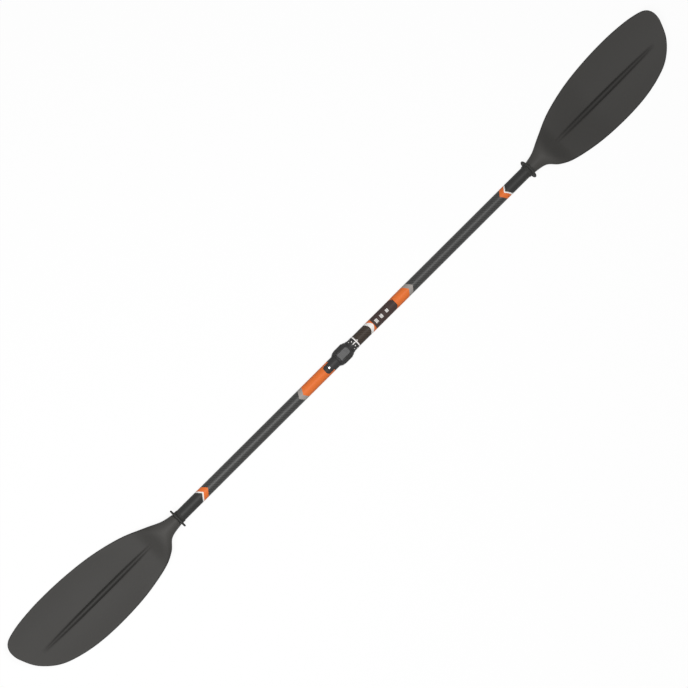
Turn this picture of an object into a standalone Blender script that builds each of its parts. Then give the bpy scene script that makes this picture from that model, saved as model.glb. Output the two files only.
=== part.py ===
"""Two-piece kayak paddle with an adjustable, lever-clamped ferrule.

Sizes are in millimetres, along X from the middle of the paddle, across Y and up Z from the
shaft's axis. The paddle lies with its power faces up, on the backs of both blades.
"""
import math

import bmesh
import bpy
from mathutils import Matrix, Vector

MM = 0.001

# Shaft tubes
SHAFT_RADIUS = 15.0
BORE_RADIUS = 14.25
MALE_RADIUS = 14.0
MALE_BORE_RADIUS = 12.8
SHAFT_END = 604.5
LEFT_MOUTH = -1.2
RIGHT_SHAFT_START = 134.5
MALE_INNER_END = -202.5
MALE_OUTER_END = 306.5
TUBE_SIDES = 40
GAP = 0.3

# Blade outline: length from the neck's shoulder, then distance from the shaft's axis
BLADE_START = SHAFT_END + GAP
NECK_RADIUS = 15.8
LONG_EDGE = ((0, 15.8), (30, 22.6), (68, 40), (128, 65), (204, 83.4), (284, 92.6),
             (364, 94.8), (426, 90.6), (464, 83.8), (486.5, 74.5), (496.2, 58))
SHORT_EDGE = ((0, -15.8), (36, -23), (62, -45.6), (100, -62.8), (176, -77.1), (260, -81.6),
              (336, -77.3), (398, -63.8), (440, -44.6), (474.5, -12), (493.6, 30))
OUTLINE_STEPS = 3
SPIGOT_LENGTH = 62.0
SPIGOT_RADIUS = BORE_RADIUS - 0.35
SPIGOT_CHAMFER = 1.5

# Blade section: neck and plate thickness, spoon curve, ribs of the power face and the back
PLATE_HALF_THICKNESS = 2.1
TIP_THINNING = 0.7
NECK_FADE = (44.0, 104.0)
PLATE_SQUARENESS = 5.0
BLADE_DIP = 17.5
DIP_START = 40.0
DIP_LOWEST = 240.0
TIP_RISE = 16.0
EDGE_LIFT = 7.0
EDGE_LIFT_FADE = (80.0, 200.0)
EDGE_LIFT_AT = 85.0
SPINE_HEIGHT = 5.0
SPINE_ENDS = (64.0, 444.0)
SPINE_CREST_HALF = 3.0
SPINE_BASE_HALF = 8.5
BACK_RIB_HEIGHT = 9.0
BACK_RIB_HALF = 24.0
BACK_RIB_FADE_IN = (60.0, 150.0)
BACK_RIB_FADE_OUT = (300.0, 440.0)
CENTRE_STATIONS = (0.0, 4.0, 8.0, 13.0)
SIDE_STATIONS = 10
REST_DEPTH = 27.0

# Drip rings
RING_AT = 601.5
RING_FLANGE_RADIUS = 25.3
RING_FLANGE_HALF = 2.0
RING_HUB_RADIUS = 16.9
RING_HUB_LENGTH = 9.0
RING_BORE_RADIUS = SHAFT_RADIUS + GAP

# Clamp collar: turned barrel, raised lever housing and riveted tongue
COLLAR_BORE_RADIUS = SHAFT_RADIUS + GAP
BARREL_PROFILE = ((-66.5, 16.0), (-61, 19.2), (-55, 20.4), (-45, 20.6), (-31, 20.1), (-25.5, 19.2),
                  (-20.5, 16.9), (-15.5, 15.9))
HOUSING_PROFILE = ((-60.3, 12), (-60.3, 20.2), (-58, 23.4), (-51.5, 23.4), (-33.5, 20.6), (-29.5, 18.5),
                   (-29.5, 12))
HOUSING_HALF_WIDTH = 12.5
HOUSING_BEVEL = 1.4
TONGUE_TIP = -101.5
TONGUE_ROOT = -57.2
TONGUE_HALF_WIDTH = 11.2
TONGUE_CORNER = 7.0
TONGUE_CORNER_SIDES = 6
TONGUE_RADIUS = 16.4

# Cam lever on its pin, brake shoe and pad
PIN_X = -55.5
PIN_Z = 20.4
PIN_RADIUS = 1.5
PIN_HALF_LENGTH = 12.2
PIN_SIDES = 24
LEVER_HALF_WIDTH = 8.5
LEVER_LENGTH = 28.5
CAM_RADIUS = 3.4
CAM_LIFT = 0.8
LEVER_OPEN = math.radians(110)
SHOE_HALF_LENGTH = 6.5
SHOE_HALF_WIDTH = 6.0
PAD_INNER_RADIUS = MALE_RADIUS + GAP
PAD_OUTER_RADIUS = 15.2
SHOE_INNER_RADIUS = PAD_OUTER_RADIUS + GAP
SHOE_TOP = PIN_Z - CAM_RADIUS - GAP
SLOT_START = -60.7
SLOT_STEP = -50.0
SLOT_END = -8.5
SLOT_HUB_FLOOR = 16.6
SLOT_ARM_FLOOR = 17.9
WINDOW_FLOOR = 8.0
ABOVE_ALL = 40.0

# Rivet of the collar's tongue
RIVET_X = -90.5
RIVET_HEAD_RADIUS = 3.0
RIVET_HEAD_HEIGHT = 0.9
RIVET_SHANK_RADIUS = 1.4
RIVET_TAIL = BORE_RADIUS + 0.1

# Wiper ring, end plug of the male tube, guide ring, seal and bulkhead
WIPER_LENGTH = 3.4
PLUG_SPIGOT_LENGTH = 26.0
PLUG_SPIGOT_RADIUS = MALE_BORE_RADIUS - GAP
PLUG_SHOULDER = 2.0
GUIDE_LENGTH = 8.0
GUIDE_NECK_RADIUS = 11.5
PLUG_WEB = 1.5
SEAL_GROOVE = 3.0
SEAL_NECK_RADIUS = 11.8
SEAL_OUTER_RADIUS = 14.0
SEAL_SIDES = 6
PLUG_FLANGE_RADIUS = 13.4
PLUG_NOSE = 2.0
BULKHEAD_X = (-290.0, -250.0)
BULKHEAD_RADIUS = BORE_RADIUS - GAP


def clear_scene():
    """Remove whatever objects the file already holds."""
    for old in list(bpy.data.objects):
        bpy.data.objects.remove(old, do_unlink=True)


def make_material(name, colour, roughness, metallic=0.0):
    """Principled material of one colour."""
    made = bpy.data.materials.new(name)
    made.use_nodes = True
    shader = made.node_tree.nodes["Principled BSDF"]
    shader.inputs["Base Color"].default_value = (*colour, 1.0)
    shader.inputs["Roughness"].default_value = roughness
    shader.inputs["Metallic"].default_value = metallic
    return made


def lerp(a, b, t):
    """Value between a and b."""
    return a + (b - a) * t


def ease(low, high, value):
    """Smooth step from 0 at low to 1 at high."""
    t = min(max((value - low) / (high - low), 0.0), 1.0)
    return t * t * (3.0 - 2.0 * t)


def smooth_curve(points, steps):
    """Points on a smooth curve through the given points, with steps to each span."""
    made = []
    last = len(points) - 1
    for span in range(last):
        before = Vector(points[max(span - 1, 0)])
        start = Vector(points[span])
        end = Vector(points[span + 1])
        after = Vector(points[min(span + 2, last)])
        for step in range(steps):
            t = step / steps
            leave = (end - before) * 0.5
            arrive = (after - start) * 0.5
            bend = leave + arrive + 2.0 * (start - end)
            swing = 3.0 * (end - start) - 2.0 * leave - arrive
            made.append(start + leave * t + swing * t * t + bend * t ** 3)
    made.append(Vector(points[last]))
    return made


LONG_CURVE = smooth_curve(LONG_EDGE, OUTLINE_STEPS)
SHORT_CURVE = smooth_curve(SHORT_EDGE, OUTLINE_STEPS)
AXIS_Y = -0.5 * (max(p.y for p in LONG_CURVE) + min(p.y for p in SHORT_CURVE))
AXIS_Z = REST_DEPTH


def bridge_rings(bm, rings, closed):
    """Skin a row of vertex rings; a ring of one vertex is a pole."""
    pairs = list(zip(rings, rings[1:]))
    if closed:
        pairs.append((rings[-1], rings[0]))
    for first, second in pairs:
        count = max(len(first), len(second))
        if count == 1:
            continue
        for i in range(count):
            j = (i + 1) % count
            corners = [first[i % len(first)], first[j % len(first)],
                       second[j % len(second)], second[i % len(second)]]
            bm.faces.new(list(dict.fromkeys(corners)))


def turned(profile, sides=TUBE_SIDES):
    """Solid turned about X from the (x, radius) points of its closed half section."""
    bm = bmesh.new()
    rings = []
    for x, radius in profile:
        if radius == 0:
            rings.append([bm.verts.new((x, 0, 0))])
            continue
        ring = []
        for i in range(sides):
            angle = math.tau * i / sides
            ring.append(bm.verts.new((x, radius * math.cos(angle), radius * math.sin(angle))))
        rings.append(ring)
    bridge_rings(bm, rings, closed=True)
    return bm


def tube(start, end, inner, outer):
    """Plain tube along X."""
    return turned(((start, inner), (end, inner), (end, outer), (start, outer)))


def rod(start, end, radius):
    """Plain rod along X."""
    return turned(((start, 0), (start, radius), (end, radius), (end, 0)))


def prism(outline, axis, start, end):
    """Straight extrusion along one axis of an outline in the other two axes."""
    bm = bmesh.new()
    rings = []
    for place in (start, end):
        ring = []
        for a, b in outline:
            corner = [a, b]
            corner.insert("XYZ".index(axis), place)
            ring.append(bm.verts.new(corner))
        rings.append(ring)
    bridge_rings(bm, rings, closed=False)
    bm.faces.new(rings[0])
    bm.faces.new(rings[1])
    return bm


def block(low, high):
    """Box between two corners."""
    outline = ((low[0], low[1]), (high[0], low[1]), (high[0], high[1]), (low[0], high[1]))
    return prism(outline, "Z", low[2], high[2])


def circle(x, other, radius):
    """Outline of a round hole or pin."""
    made = []
    for i in range(PIN_SIDES):
        angle = math.tau * i / PIN_SIDES
        made.append((x + radius * math.cos(angle), other + radius * math.sin(angle)))
    return made


def cross_rod(half_length, radius):
    """Rod along the lever's pin."""
    return prism(circle(PIN_X, PIN_Z, radius), "Y", -half_length, half_length)


def rivet_hole():
    """Cutter for the rivet's hole."""
    return prism(circle(RIVET_X, 0.0, RIVET_SHANK_RADIUS + GAP), "Z", WINDOW_FLOOR, ABOVE_ALL)


def add_piece(name, bm, finish, parent, origin=(0, 0, 0)):
    """Object from a mesh in shaft coordinates, with its origin at the given point."""
    bmesh.ops.recalc_face_normals(bm, faces=bm.faces)
    bmesh.ops.transform(bm, matrix=Matrix.Translation(-Vector(origin)), verts=bm.verts)
    bmesh.ops.scale(bm, vec=(MM, MM, MM), verts=bm.verts)
    mesh = bpy.data.meshes.new(name)
    bm.to_mesh(mesh)
    bm.free()
    mesh.shade_smooth()
    mesh.set_sharp_from_angle(angle=math.radians(35))
    made = bpy.data.objects.new(name, mesh)
    bpy.context.scene.collection.objects.link(made)
    made.parent = parent
    made.location = Vector(origin) * MM
    if finish is not None:
        mesh.materials.append(finish)
    return made


def combine(target, name, bm, operation):
    """Cut, join or meet a piece with a hidden helper shape, which is returned."""
    helper = add_piece(name, bm, None, target.parent)
    helper.hide_render = True
    helper.display_type = "WIRE"
    step = target.modifiers.new(name, "BOOLEAN")
    step.operation = operation
    step.solver = "EXACT"
    step.object = helper
    return helper


def blade_centre(u, v):
    """Height of the blade's middle surface: a dip behind the shaft, a tip that rises again."""
    if u <= DIP_LOWEST:
        height = -BLADE_DIP * ease(DIP_START, DIP_LOWEST, u)
    else:
        height = -BLADE_DIP + TIP_RISE * ((u - DIP_LOWEST) / (LONG_EDGE[-1][0] - DIP_LOWEST)) ** 2
    return height + EDGE_LIFT * ease(*EDGE_LIFT_FADE, u) * (v / EDGE_LIFT_AT) ** 2


def blade_faces(u, v, reach):
    """Heights of power face and back at one place; reach is 0 on the centre line, 1 at the edge."""
    flat = ease(*NECK_FADE, u)
    plate = PLATE_HALF_THICKNESS - TIP_THINNING * u / LONG_EDGE[-1][0]
    power = lerp(2.0, PLATE_SQUARENESS, flat)
    half = lerp(NECK_RADIUS, plate, flat) * (1.0 - min(reach, 1.0) ** power) ** (1.0 / power)
    along = min(max((u - SPINE_ENDS[0]) / (SPINE_ENDS[1] - SPINE_ENDS[0]), 0.0), 1.0)
    slender = math.sqrt(math.sin(math.pi * along))
    spine = SPINE_HEIGHT * slender ** 2
    spine *= 1.0 - ease(SPINE_CREST_HALF * slender, SPINE_BASE_HALF * slender + 0.01, abs(v))
    rib = BACK_RIB_HEIGHT * ease(*BACK_RIB_FADE_IN, u) * (1.0 - ease(*BACK_RIB_FADE_OUT, u))
    rib *= math.exp(-(v / BACK_RIB_HALF) ** 4)
    centre = blade_centre(u, v)
    return centre + half + spine, max(centre - half - rib, -REST_DEPTH)


def stations(reach, flat):
    """Distances from the centre line to the edge: even angles at the neck, close to the spine after."""
    made = []
    inner = len(CENTRE_STATIONS) - 1
    for i in range(SIDE_STATIONS + 1):
        round_place = reach * math.sin(0.5 * math.pi * i / SIDE_STATIONS)
        if i <= inner:
            flat_place = CENTRE_STATIONS[i] * min(1.0, reach / (2.0 * CENTRE_STATIONS[inner]))
        else:
            start = CENTRE_STATIONS[inner] * min(1.0, reach / (2.0 * CENTRE_STATIONS[inner]))
            share = (i - inner) / (SIDE_STATIONS - inner)
            flat_place = lerp(start, reach, math.sin(0.5 * math.pi * share))
        made.append(lerp(round_place, flat_place, flat))
    return made


def blade_section(long_point, short_point):
    """Loop of points round the blade on a line between its two edges."""
    width = long_point.y - short_point.y
    middle = max(0.0, short_point.y + 0.3 * width)
    flat = ease(*NECK_FADE, 0.5 * (long_point.x + short_point.x))
    right = [middle + d for d in stations(long_point.y - middle, flat)]
    left = [middle - d for d in stations(middle - short_point.y, flat)]
    row = left[:0:-1] + right
    top = []
    bottom = []
    for v in row:
        u = lerp(short_point.x, long_point.x, (v - short_point.y) / width)
        edge = long_point.y if v >= middle else short_point.y
        face, back = blade_faces(u, v, abs((v - middle) / (edge - middle)))
        top.append((u, v, face))
        bottom.append((u, v, back))
    return top + bottom[-2:0:-1]


def round_section(u, radius):
    """Loop of the same count round the spigot."""
    made = []
    count = 4 * SIDE_STATIONS
    for i in range(count):
        angle = math.pi - math.tau * i / count
        made.append((u, radius * math.cos(angle), radius * math.sin(angle)))
    return made


def blade(side):
    """Blade with its neck and spigot, on the left (-1) or right (+1) end."""
    loops = [round_section(-SPIGOT_LENGTH, SPIGOT_RADIUS - SPIGOT_CHAMFER),
             round_section(SPIGOT_CHAMFER - SPIGOT_LENGTH, SPIGOT_RADIUS),
             round_section(0.0, SPIGOT_RADIUS)]
    for long_point, short_point in zip(LONG_CURVE, SHORT_CURVE):
        loops.append(blade_section(long_point, short_point))
    bm = bmesh.new()
    rings = []
    for loop in loops:
        rings.append([bm.verts.new((side * (BLADE_START + u), v, z)) for u, v, z in loop])
    bridge_rings(bm, rings, closed=False)
    bm.faces.new(rings[0])
    bm.faces.new(rings[-1])
    return bm


def drip_ring(side):
    """Rubber disc with a hub towards the middle of the paddle."""
    outer = RING_AT + RING_FLANGE_HALF
    inner = RING_AT - RING_FLANGE_HALF
    soft = 0.5 * RING_FLANGE_HALF
    profile = ((outer, RING_BORE_RADIUS), (outer, RING_FLANGE_RADIUS - soft),
               (outer - soft, RING_FLANGE_RADIUS), (inner + soft, RING_FLANGE_RADIUS),
               (inner, RING_FLANGE_RADIUS - soft), (inner, RING_HUB_RADIUS + soft),
               (inner - soft, RING_HUB_RADIUS), (inner - RING_HUB_LENGTH + soft, RING_HUB_RADIUS),
               (inner - RING_HUB_LENGTH, RING_HUB_RADIUS - soft),
               (inner - RING_HUB_LENGTH, RING_BORE_RADIUS))
    return turned([(side * x, radius) for x, radius in profile])


def lever_outline():
    """Side view of the lever about its pin: arm, then a cam whose reach falls evenly as it opens."""
    outline = [(LEVER_LENGTH, -1.4), (LEVER_LENGTH + 0.8, 0.3), (LEVER_LENGTH - 0.6, 1.7), (0.0, CAM_RADIUS)]
    fall = CAM_LIFT / LEVER_OPEN
    open_radius = CAM_RADIUS - CAM_LIFT
    for step in range(1, 4):
        angle = lerp(math.pi, LEVER_OPEN, step / 4)
        radius = lerp(CAM_RADIUS, open_radius, step / 4)
        outline.append((-radius * math.sin(angle), -radius * math.cos(angle)))
    for step in range(12, -1, -1):
        angle = LEVER_OPEN * step / 12
        reach = CAM_RADIUS - fall * angle
        outline.append((-reach * math.sin(angle) + fall * math.cos(angle),
                        -reach * math.cos(angle) - fall * math.sin(angle)))
    outline.append((6.0, -2.2))
    return [(PIN_X + x, PIN_Z + z) for x, z in outline]


def arc_across(radius, half_width, count=8):
    """Points of an arc about the shaft, in Y and Z, from one side to the other."""
    limit = math.asin(half_width / radius)
    made = []
    for i in range(count + 1):
        angle = lerp(-limit, limit, i / count)
        made.append((radius * math.sin(angle), radius * math.cos(angle)))
    return made


def tongue_outline():
    """Plan view of the collar's tongue with the round corners of its end."""
    across = TONGUE_HALF_WIDTH - TONGUE_CORNER
    outline = [(TONGUE_ROOT, -TONGUE_HALF_WIDTH), (TONGUE_ROOT, TONGUE_HALF_WIDTH)]
    for centre, first in ((across, 0.5 * math.pi), (-across, math.pi)):
        for i in range(TONGUE_CORNER_SIDES + 1):
            angle = first + 0.5 * math.pi * i / TONGUE_CORNER_SIDES
            outline.append((TONGUE_TIP + TONGUE_CORNER * (1.0 + math.cos(angle)),
                            centre + TONGUE_CORNER * math.sin(angle)))
    return outline


def lever_housing():
    """Raised block on the barrel that carries the lever's pin, its long top edges rounded."""
    bm = prism(HOUSING_PROFILE, "Y", -HOUSING_HALF_WIDTH, HOUSING_HALF_WIDTH)
    rim = [edge for edge in bm.edges
           if abs(edge.verts[0].co.y - edge.verts[1].co.y) < 1e-4
           and min(vert.co.z for vert in edge.verts) > 18]
    bmesh.ops.bevel(bm, geom=rim, offset=HOUSING_BEVEL, segments=2, affect="EDGES", profile=0.5)
    return bm


def male_end_plug():
    """Turned plug in the male tube's inner end, with seats for the guide ring and the seal."""
    seat = MALE_INNER_END - GAP
    guide = seat - PLUG_SHOULDER
    web = guide - GUIDE_LENGTH
    groove = web - PLUG_WEB
    nose = groove - SEAL_GROOVE
    inside = MALE_INNER_END + PLUG_SPIGOT_LENGTH
    return turned(((inside, 0), (inside, PLUG_SPIGOT_RADIUS), (seat, PLUG_SPIGOT_RADIUS),
                   (seat, PLUG_FLANGE_RADIUS), (guide, PLUG_FLANGE_RADIUS), (guide, GUIDE_NECK_RADIUS),
                   (web, GUIDE_NECK_RADIUS), (web, PLUG_FLANGE_RADIUS), (groove, PLUG_FLANGE_RADIUS),
                   (groove, SEAL_NECK_RADIUS), (nose, SEAL_NECK_RADIUS), (nose, PLUG_FLANGE_RADIUS),
                   (nose - PLUG_NOSE, PLUG_FLANGE_RADIUS - PLUG_NOSE), (nose - PLUG_NOSE, 0)))


def guide_ring():
    """Plain bush round the end plug's neck."""
    outer_end = MALE_INNER_END - GAP - PLUG_SHOULDER - GAP
    return tube(outer_end - GUIDE_LENGTH + 2 * GAP, outer_end, GUIDE_NECK_RADIUS + GAP, MALE_RADIUS)


def end_seal():
    """Round rubber ring in the end plug's groove."""
    inner = SEAL_NECK_RADIUS + GAP
    section = 0.5 * (SEAL_OUTER_RADIUS - inner)
    middle = MALE_INNER_END - GAP - PLUG_SHOULDER - GUIDE_LENGTH - PLUG_WEB - 0.5 * SEAL_GROOVE
    profile = []
    for i in range(SEAL_SIDES):
        angle = math.tau * i / SEAL_SIDES
        profile.append((middle + section * math.cos(angle), inner + section + section * math.sin(angle)))
    return turned(profile)


def rivet():
    """Domed rivet with a shank through the tongue and the shaft wall."""
    head = TONGUE_RADIUS + GAP
    profile = ((0.0, RIVET_TAIL), (RIVET_SHANK_RADIUS, RIVET_TAIL), (RIVET_SHANK_RADIUS, head),
               (RIVET_HEAD_RADIUS, head), (0.75 * RIVET_HEAD_RADIUS, head + 0.7 * RIVET_HEAD_HEIGHT),
               (0.35 * RIVET_HEAD_RADIUS, head + RIVET_HEAD_HEIGHT), (0.0, head + RIVET_HEAD_HEIGHT))
    bm = turned([(height, radius) for radius, height in profile], PIN_SIDES)
    turn = Matrix.Rotation(-0.5 * math.pi, 4, "Y")
    bmesh.ops.transform(bm, matrix=Matrix.Translation((RIVET_X, 0, 0)) @ turn, verts=bm.verts)
    return bm


def build_clamp(axis, finishes):
    """Collar, lever, pin, shoe, pad and rivet of the ferrule."""
    barrel = [(BARREL_PROFILE[0][0], 0.0), *BARREL_PROFILE, (BARREL_PROFILE[-1][0], 0.0)]
    collar = add_piece("clamp_collar", turned(barrel, 48), finishes["collar"], axis)
    combine(collar, "housing_block", lever_housing(), "UNION")
    stock = rod(TONGUE_TIP - 2.0, TONGUE_ROOT + 2.0, TONGUE_RADIUS)
    tongue = combine(collar, "tongue", stock, "UNION")
    combine(tongue, "tongue_plan", prism(tongue_outline(), "Z", 4.0, ABOVE_ALL), "INTERSECT")
    combine(collar, "collar_bore", rod(TONGUE_TIP - 20.0, 0.0, COLLAR_BORE_RADIUS), "DIFFERENCE")
    slot = ((SLOT_START, SLOT_HUB_FLOOR), (SLOT_STEP, SLOT_HUB_FLOOR), (SLOT_STEP, SLOT_ARM_FLOOR),
            (SLOT_END, SLOT_ARM_FLOOR), (SLOT_END, ABOVE_ALL), (SLOT_START, ABOVE_ALL))
    slot_half = LEVER_HALF_WIDTH + GAP
    combine(collar, "lever_slot", prism(slot, "Y", -slot_half, slot_half), "DIFFERENCE")
    pocket_x = SHOE_HALF_LENGTH + GAP
    pocket_y = SHOE_HALF_WIDTH + GAP
    pocket = block((PIN_X - pocket_x, -pocket_y, WINDOW_FLOOR), (PIN_X + pocket_x, pocket_y, ABOVE_ALL))
    combine(collar, "shoe_pocket", pocket, "DIFFERENCE")
    combine(collar, "pin_hole", cross_rod(ABOVE_ALL, PIN_RADIUS + GAP), "DIFFERENCE")
    combine(collar, "tongue_hole", rivet_hole(), "DIFFERENCE")
    add_piece("collar_rivet", rivet(), finishes["steel"], axis)
    add_piece("lever_pin", cross_rod(PIN_HALF_LENGTH, PIN_RADIUS), finishes["steel"], axis)
    on_pin = (PIN_X, 0.0, PIN_Z)
    arm = prism(lever_outline(), "Y", -LEVER_HALF_WIDTH, LEVER_HALF_WIDTH)
    lever = add_piece("cam_lever", arm, finishes["lever"], axis, on_pin)
    combine(lever, "lever_bore", cross_rod(ABOVE_ALL, PIN_RADIUS + GAP), "DIFFERENCE")
    ends = (PIN_X - SHOE_HALF_LENGTH, PIN_X + SHOE_HALF_LENGTH)
    shoe = [(SHOE_HALF_WIDTH, SHOE_TOP), (-SHOE_HALF_WIDTH, SHOE_TOP)]
    shoe += arc_across(SHOE_INNER_RADIUS, SHOE_HALF_WIDTH)
    add_piece("brake_shoe", prism(shoe, "X", *ends), finishes["acetal"], axis, on_pin)
    pad = arc_across(PAD_INNER_RADIUS, SHOE_HALF_WIDTH)
    pad += arc_across(PAD_OUTER_RADIUS, SHOE_HALF_WIDTH)[::-1]
    add_piece("brake_pad", prism(pad, "X", *ends), finishes["rubber"], axis, on_pin)


def build_left_shaft(axis, finishes):
    """Socket half of the shaft, with the shoe's window and the rivet's hole."""
    shaft = add_piece("left_shaft", tube(-SHAFT_END, LEFT_MOUTH, BORE_RADIUS, SHAFT_RADIUS),
                      finishes["carbon"], axis)
    window_x = SHOE_HALF_LENGTH + 3 * GAP
    window_y = SHOE_HALF_WIDTH + 3 * GAP
    window = block((PIN_X - window_x, -window_y, WINDOW_FLOOR), (PIN_X + window_x, window_y, ABOVE_ALL))
    combine(shaft, "shoe_window", window, "DIFFERENCE")
    combine(shaft, "shaft_rivet_hole", rivet_hole(), "DIFFERENCE")
    mouth = LEFT_MOUTH + GAP
    add_piece("wiper_seal", tube(mouth, mouth + WIPER_LENGTH, BORE_RADIUS, SHAFT_RADIUS),
              finishes["white"], axis)
    add_piece("left_bulkhead", rod(*BULKHEAD_X, BULKHEAD_RADIUS), finishes["foam"], axis)


def build_right_shaft(axis, finishes):
    """Male half: bonded inner tube, outer tube, and the fittings of its inner end."""
    male = tube(MALE_INNER_END, MALE_OUTER_END, MALE_BORE_RADIUS, MALE_RADIUS)
    add_piece("male_tube", male, finishes["black"], axis)
    outer = tube(RIGHT_SHAFT_START, SHAFT_END, BORE_RADIUS, SHAFT_RADIUS)
    add_piece("right_shaft", outer, finishes["carbon"], axis)
    add_piece("male_end_plug", male_end_plug(), finishes["black"], axis)
    add_piece("guide_ring", guide_ring(), finishes["acetal"], axis)
    add_piece("end_seal", end_seal(), finishes["rubber"], axis)


def main():
    """Build the whole paddle under one empty on the shaft's axis."""
    clear_scene()
    finishes = {
        "blade": make_material("blade_nylon", (0.07, 0.067, 0.063), 0.5),
        "carbon": make_material("carbon_shaft", (0.1, 0.1, 0.1), 0.35),
        "black": make_material("black_tube", (0.03, 0.03, 0.031), 0.45),
        "collar": make_material("collar_plastic", (0.05, 0.05, 0.052), 0.5),
        "lever": make_material("lever_plastic", (0.12, 0.12, 0.125), 0.45),
        "rubber": make_material("black_rubber", (0.025, 0.025, 0.025), 0.75),
        "acetal": make_material("black_acetal", (0.035, 0.035, 0.036), 0.4),
        "white": make_material("white_wiper", (0.8, 0.8, 0.78), 0.5),
        "foam": make_material("closed_cell_foam", (0.2, 0.2, 0.21), 0.9),
        "steel": make_material("stainless_steel", (0.6, 0.6, 0.61), 0.3, 1.0),
    }
    axis = bpy.data.objects.new("shaft_axis", None)
    bpy.context.scene.collection.objects.link(axis)
    axis.location = (0.0, AXIS_Y * MM, AXIS_Z * MM)
    for side, name in ((-1, "left"), (1, "right")):
        add_piece(f"{name}_blade", blade(side), finishes["blade"], axis)
        ring_origin = (side * RING_AT, 0.0, 0.0)
        add_piece(f"{name}_drip_ring", drip_ring(side), finishes["rubber"], axis, ring_origin)
    build_left_shaft(axis, finishes)
    build_clamp(axis, finishes)
    build_right_shaft(axis, finishes)


main()
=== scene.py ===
"""Looks of a take-apart kayak paddle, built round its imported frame.

Shapes are made in millimetres: x along the shaft from the paddle's middle, y across and z up from
the shaft's axis. The function that makes a piece turns them into the frame's metres.
"""
import math

import bmesh
import bpy
from mathutils import Matrix, Vector


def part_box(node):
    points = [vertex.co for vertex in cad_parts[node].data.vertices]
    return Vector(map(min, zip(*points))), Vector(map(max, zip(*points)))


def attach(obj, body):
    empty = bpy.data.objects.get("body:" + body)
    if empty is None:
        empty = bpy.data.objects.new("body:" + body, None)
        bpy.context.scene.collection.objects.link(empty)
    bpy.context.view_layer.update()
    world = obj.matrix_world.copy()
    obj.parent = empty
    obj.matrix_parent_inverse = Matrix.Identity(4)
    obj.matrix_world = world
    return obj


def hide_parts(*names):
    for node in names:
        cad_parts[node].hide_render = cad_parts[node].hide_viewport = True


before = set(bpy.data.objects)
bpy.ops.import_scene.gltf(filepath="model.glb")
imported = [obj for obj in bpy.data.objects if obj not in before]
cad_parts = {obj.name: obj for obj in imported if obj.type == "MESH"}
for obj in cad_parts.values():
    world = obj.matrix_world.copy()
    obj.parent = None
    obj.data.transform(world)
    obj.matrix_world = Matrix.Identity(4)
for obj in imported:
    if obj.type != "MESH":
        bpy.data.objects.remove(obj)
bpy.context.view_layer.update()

MM = 0.001
SIDES = ((-1, "left"), (1, "right"))

# Places read from the frame, in millimetres about the shaft's axis
SHAFT_LOW, SHAFT_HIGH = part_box("left_shaft")
AXIS = Vector((0.0, 0.5 * (SHAFT_LOW.y + SHAFT_HIGH.y), 0.5 * (SHAFT_LOW.z + SHAFT_HIGH.z)))


def span(node, axis):
    """Lowest and highest place of a node along one axis, in millimetres about the shaft's axis."""
    low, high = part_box(node)
    return (low[axis] - AXIS[axis]) / MM, (high[axis] - AXIS[axis]) / MM


SHAFT_RADIUS = span("left_shaft", 2)[1]
SHAFT_END, LEFT_MOUTH = span("left_shaft", 0)
RIGHT_START = span("right_shaft", 0)[0]
MALE_RADIUS = span("male_tube", 2)[1]
MALE_ENDS = span("male_tube", 0)
WIPER_ENDS = span("wiper_seal", 0)
PLUG_ENDS = span("male_end_plug", 0)
GUIDE_ENDS = span("guide_ring", 0)
SEAL_ENDS = span("end_seal", 0)
SEAL_RADIUS = span("end_seal", 2)[1]
PIN_X = sum(span("lever_pin", 0)) / 2
PIN_Z = sum(span("lever_pin", 2)) / 2
PIN_HALF = span("lever_pin", 1)[1]
PIN_RADIUS = span("lever_pin", 2)[1] - PIN_Z
LEVER_HALF = span("cam_lever", 1)[1]
LEVER_TIP = span("cam_lever", 0)[1]
RIVET_X = sum(span("collar_rivet", 0)) / 2
RIVET_RADIUS = span("collar_rivet", 1)[1]
RIVET_ENDS = span("collar_rivet", 2)
COLLAR_START = span("clamp_collar", 0)[0]
REST_DEPTH = AXIS.z / MM

# Clearance, smallest distance, and how finely round and smooth shapes are made
FIT = 0.3
SMALLEST = 0.01
ROUND_SIDES = 96
CIRCLE_SIDES = 40
DOT_SIDES = 20
CURVE_STEPS = 8
SHORT_CURVE_STEPS = 6
SMALL_CORNER = 1.0
SMALL_CORNER_STEPS = 3
SHARP_ANGLE = math.radians(38)
ABOVE_ALL = 40.0

# Tubes, the sleeve that thickens the exposed part of the inner one, and the wiper ring
WALL = 0.75
BORE_RADIUS = SHAFT_RADIUS - WALL
TUBE_EDGE = 0.2
MALE_WALL = 1.2
SLEEVE_RADIUS = 14.7
SLEEVE_EDGE = 0.3
SLEEVE_FIT = 0.02
SLEEVE_MARGINS = (0.4, 0.2)
WIPER_LIP = 0.6
WIPER_EDGE = 0.2

# Printed bands, label and marks
PRINT_LIFT = 0.03
PRINT_THICK = 0.06
PRINT_LAYER = 1.5 * PRINT_THICK
PRINT_MARGIN = 0.3
PRINT_CUT = 0.6
MARK_CORNER = 0.5
END_CHEVRON_DEPTH = 12.5
END_CHEVRON_ROLL = math.radians(7)
END_CHEVRONS = (499.0, 513.8, 518.0)
GREY_CHEVRON = (181.6, 194.9)
GREY_CHEVRON_DEPTH = 10.5
GREY_CHEVRON_ROLL = math.radians(-8)
NECK_PRINT = -83.5
MALE_CHEVRON = (47.9, 58.9)
MALE_CHEVRON_DEPTH = (-8.0, -11.5)
LABEL_ENDS = (60.2, 133.9)
LABEL_HALF_ANGLE = math.radians(80)
LABEL_CORNERS = (2.5, 15.0)
LABEL_MARKS = ((67.3, 5.2), (83.9, 5.0), (102.6, 4.0))
LABEL_BARS = 3
LABEL_BAR_STEP = 2.7
LABEL_BAR_WIDTH = 1.8
SLEEVE_BAND_MARGIN = 0.7
INDEX_POINT_GAP = 0.8
INDEX_POINT_LENGTH = 3.2
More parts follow.
